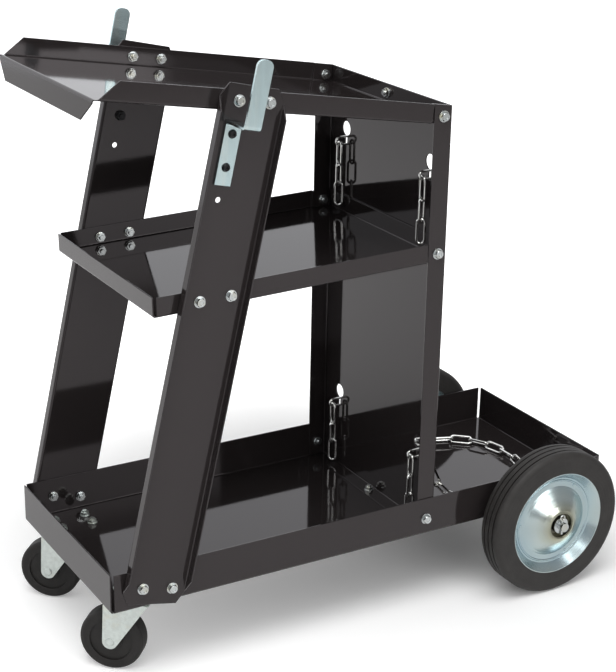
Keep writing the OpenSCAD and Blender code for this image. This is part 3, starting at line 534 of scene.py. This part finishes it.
class CART_OT_chains(bpy.types.Operator):
    """Plate the chains"""
    bl_idname = "cart.chains"
    bl_label = "Chains"

    def execute(self, context):
        metal = context.scene.cart_metal
        wire = plated("chain zinc", metal.chain, metal.chain_warm, roughness=0.13, spread=70.0, edge=0.0)
        for level in LEVELS:
            dress(f"chain_{level}", wire)
            for side in SIDES:
                dress(f"tail_{level}_{side}", wire)
        return {"FINISHED"}


# Studio


def softbox(name, place, target, size, power):
    """Rectangular lamp that the camera doesn't see."""
    lamp = bpy.data.lights.new(name, "AREA")
    lamp.shape = "RECTANGLE"
    lamp.size, lamp.size_y = size
    lamp.energy = power
    obj = bpy.data.objects.new(name, lamp)
    bpy.context.scene.collection.objects.link(obj)
    back = (Vector(place) - Vector(target)).normalized()
    obj.visible_camera = False
    obj.matrix_world = Matrix.Translation(place) @ back.to_track_quat("Z", "Y").to_matrix().to_4x4()


def background(tree, colour, strength):
    return node(tree, "ShaderNodeBackground", {"Color": (*colour, 1.0), "Strength": strength}).outputs[0]


def choose(tree, ray, plain, special):
    """One shader for every ray, and another for the rays of one kind."""
    return node(tree, "ShaderNodeMixShader", {0: ray, 1: plain, 2: special}).outputs[0]


def studio_world():
    """White behind the cart, even light on it, and walls that only its gloss mirrors."""
    world = bpy.data.worlds.new("studio")
    bpy.context.scene.world = world
    world.use_nodes = True
    tree = world.node_tree
    tree.nodes.clear()
    out = tree.nodes.new("ShaderNodeOutputWorld")
    path = node(tree, "ShaderNodeLightPath").outputs
    place = node(tree, "ShaderNodeTexCoord").outputs["Generated"]
    parts = node(tree, "ShaderNodeSeparateXYZ", {"Vector": place}).outputs
    front = remap(tree, parts["X"], MIRROR_FRONT_SPAN, MIRROR_FRONT_LEVELS, "SMOOTHSTEP")
    beside = remap(tree, parts["Y"], MIRROR_SIDE_SPAN, MIRROR_SIDE_LEVELS, "SMOOTHSTEP")
    mirrored = background(tree, MIRROR_COLOUR, maths(tree, "ADD", front, beside))
    lit = choose(tree, path["Is Glossy Ray"], background(tree, WHITE, FILL_LEVEL), mirrored)
    seen = choose(tree, path["Is Camera Ray"], lit, background(tree, WHITE, BACKDROP_LEVEL))
    tree.links.new(seen, out.inputs["Surface"])


def floor_paper(name):
    """White paper that keeps the cart's shadow."""
    material, tree, shader = new_material(name)
    shader.inputs["Roughness"].default_value = PAPER_ROUGHNESS
    shader.inputs["Specular IOR Level"].default_value = PAPER_SPECULAR
    shader.inputs["Emission Color"].default_value = (*WHITE, 1.0)
    path = node(tree, "ShaderNodeLightPath").outputs
    place = object_coordinates(tree)
    far = vector_maths(tree, "LENGTH", place).outputs["Value"]
    parts = node(tree, "ShaderNodeSeparateXYZ", {"Vector": place}).outputs
    under = remap(tree, parts["X"], UNDER_SPAN, UNDER_LEVELS)
    glow = remap(tree, far, GLOW_SPAN, (under, GLOW_FAR_LEVEL), "SMOOTHSTEP")
    lit = remap(tree, parts["Y"], MIRRORED_GLOW_SPAN, MIRRORED_GLOW_LEVELS, "SMOOTHSTEP")
    dim = remap(tree, parts["Y"], MIRRORED_DIM_SPAN, MIRRORED_DIM_LEVELS, "SMOOTHSTEP")
    dimmed = maths(tree, "MULTIPLY", path["Is Glossy Ray"], dim)
    tree.links.new(maths(tree, "SUBTRACT", PAPER_WHITE, dimmed), shader.inputs["Base Color"])
    own = maths(tree, "MULTIPLY", path["Is Camera Ray"], glow)
    mirrored = maths(tree, "MULTIPLY", path["Is Glossy Ray"], lit)
    tree.links.new(maths(tree, "ADD", own, mirrored), shader.inputs["Emission Strength"])
    return material


def lay_floor(radius):
    """Round sheet of paper just under the wheels."""
    mesh = bpy.data.meshes.new("studio floor")
    paper = bmesh.new()
    bmesh.ops.create_circle(paper, cap_ends=True, radius=radius, segments=PAPER_SEGMENTS)
    paper.to_mesh(mesh)
    paper.free()
    floor = bpy.data.objects.new("studio_floor", mesh)
    bpy.context.scene.collection.objects.link(floor)
    floor.location.z = -PAPER_DROP
    floor.data.materials.append(floor_paper("floor paper"))


def place_camera(studio):
    """Camera at the photograph's angle."""
    camera = bpy.data.cameras.new("camera")
    camera.sensor_width = SENSOR_WIDTH
    camera.lens = studio.lens
    camera.clip_end = VIEW_END
    obj = bpy.data.objects.new("camera", camera)
    bpy.context.scene.collection.objects.link(obj)
    turn, height, roll = studio.azimuth, studio.elevation, studio.roll
    back = Vector((math.sin(turn) * math.cos(height), -math.cos(turn) * math.cos(height), math.sin(height)))
    right = Vector((math.cos(turn), math.sin(turn), 0.0))
    up = back.cross(right)
    axes = (right * math.cos(roll) + up * math.sin(roll), up * math.cos(roll) - right * math.sin(roll), back)
    obj.matrix_world = Matrix.Translation(studio.place) @ Matrix(axes).transposed().to_4x4()
    bpy.context.scene.camera = obj


class CART_OT_stage(bpy.types.Operator):
    """Lay the floor, set the lamps and place the camera"""
    bl_idname = "cart.stage"
    bl_label = "Stage"

    def execute(self, context):
        studio = context.scene.cart_studio
        lay_floor(studio.floor)
        studio_world()
        for name, lamp in LAMPS.items():
            softbox(name, **lamp)
        place_camera(studio)
        context.scene.view_settings.view_transform = "Standard"
        return {"FINISHED"}


class CART_PT_panel(bpy.types.Panel):
    """Steps that finish the cart, with their settings"""
    bl_idname = "CART_PT_panel"
    bl_label = "Welding Cart"
    bl_space_type = "VIEW_3D"
    bl_region_type = "UI"
    bl_category = "Welding Cart"

    def draw(self, context):
        layout = self.layout
        for group in GROUPS:
            settings = getattr(context.scene, group)
            box = layout.box()
            for key in settings.__annotations__:
                box.prop(settings, key)
        for step in STEPS:
            layout.operator(step.bl_idname)


# The operators in the order in which main calls them, and the settings that the scene holds
STEPS = (CART_OT_stage, CART_OT_sheet_metal, CART_OT_fittings, CART_OT_rear_wheels, CART_OT_casters,
         CART_OT_chains)
GROUPS = {"cart_paint": CartPaint, "cart_metal": CartMetal, "cart_rubber": CartRubber,
          "cart_studio": CartStudio}
CLASSES = (*GROUPS.values(), *STEPS, CART_PT_panel)


def register():
    for made in CLASSES:
        bpy.utils.register_class(made)
    for key, group in GROUPS.items():
        setattr(bpy.types.Scene, key, bpy.props.PointerProperty(type=group))


def unregister():
    for key in GROUPS:
        delattr(bpy.types.Scene, key)
    for made in reversed(CLASSES):
        bpy.utils.unregister_class(made)


def main():
    register()
    for step in STEPS:
        area, name = step.bl_idname.split(".")
        getattr(getattr(bpy.ops, area), name)()


if __name__ == "__main__":
    main()
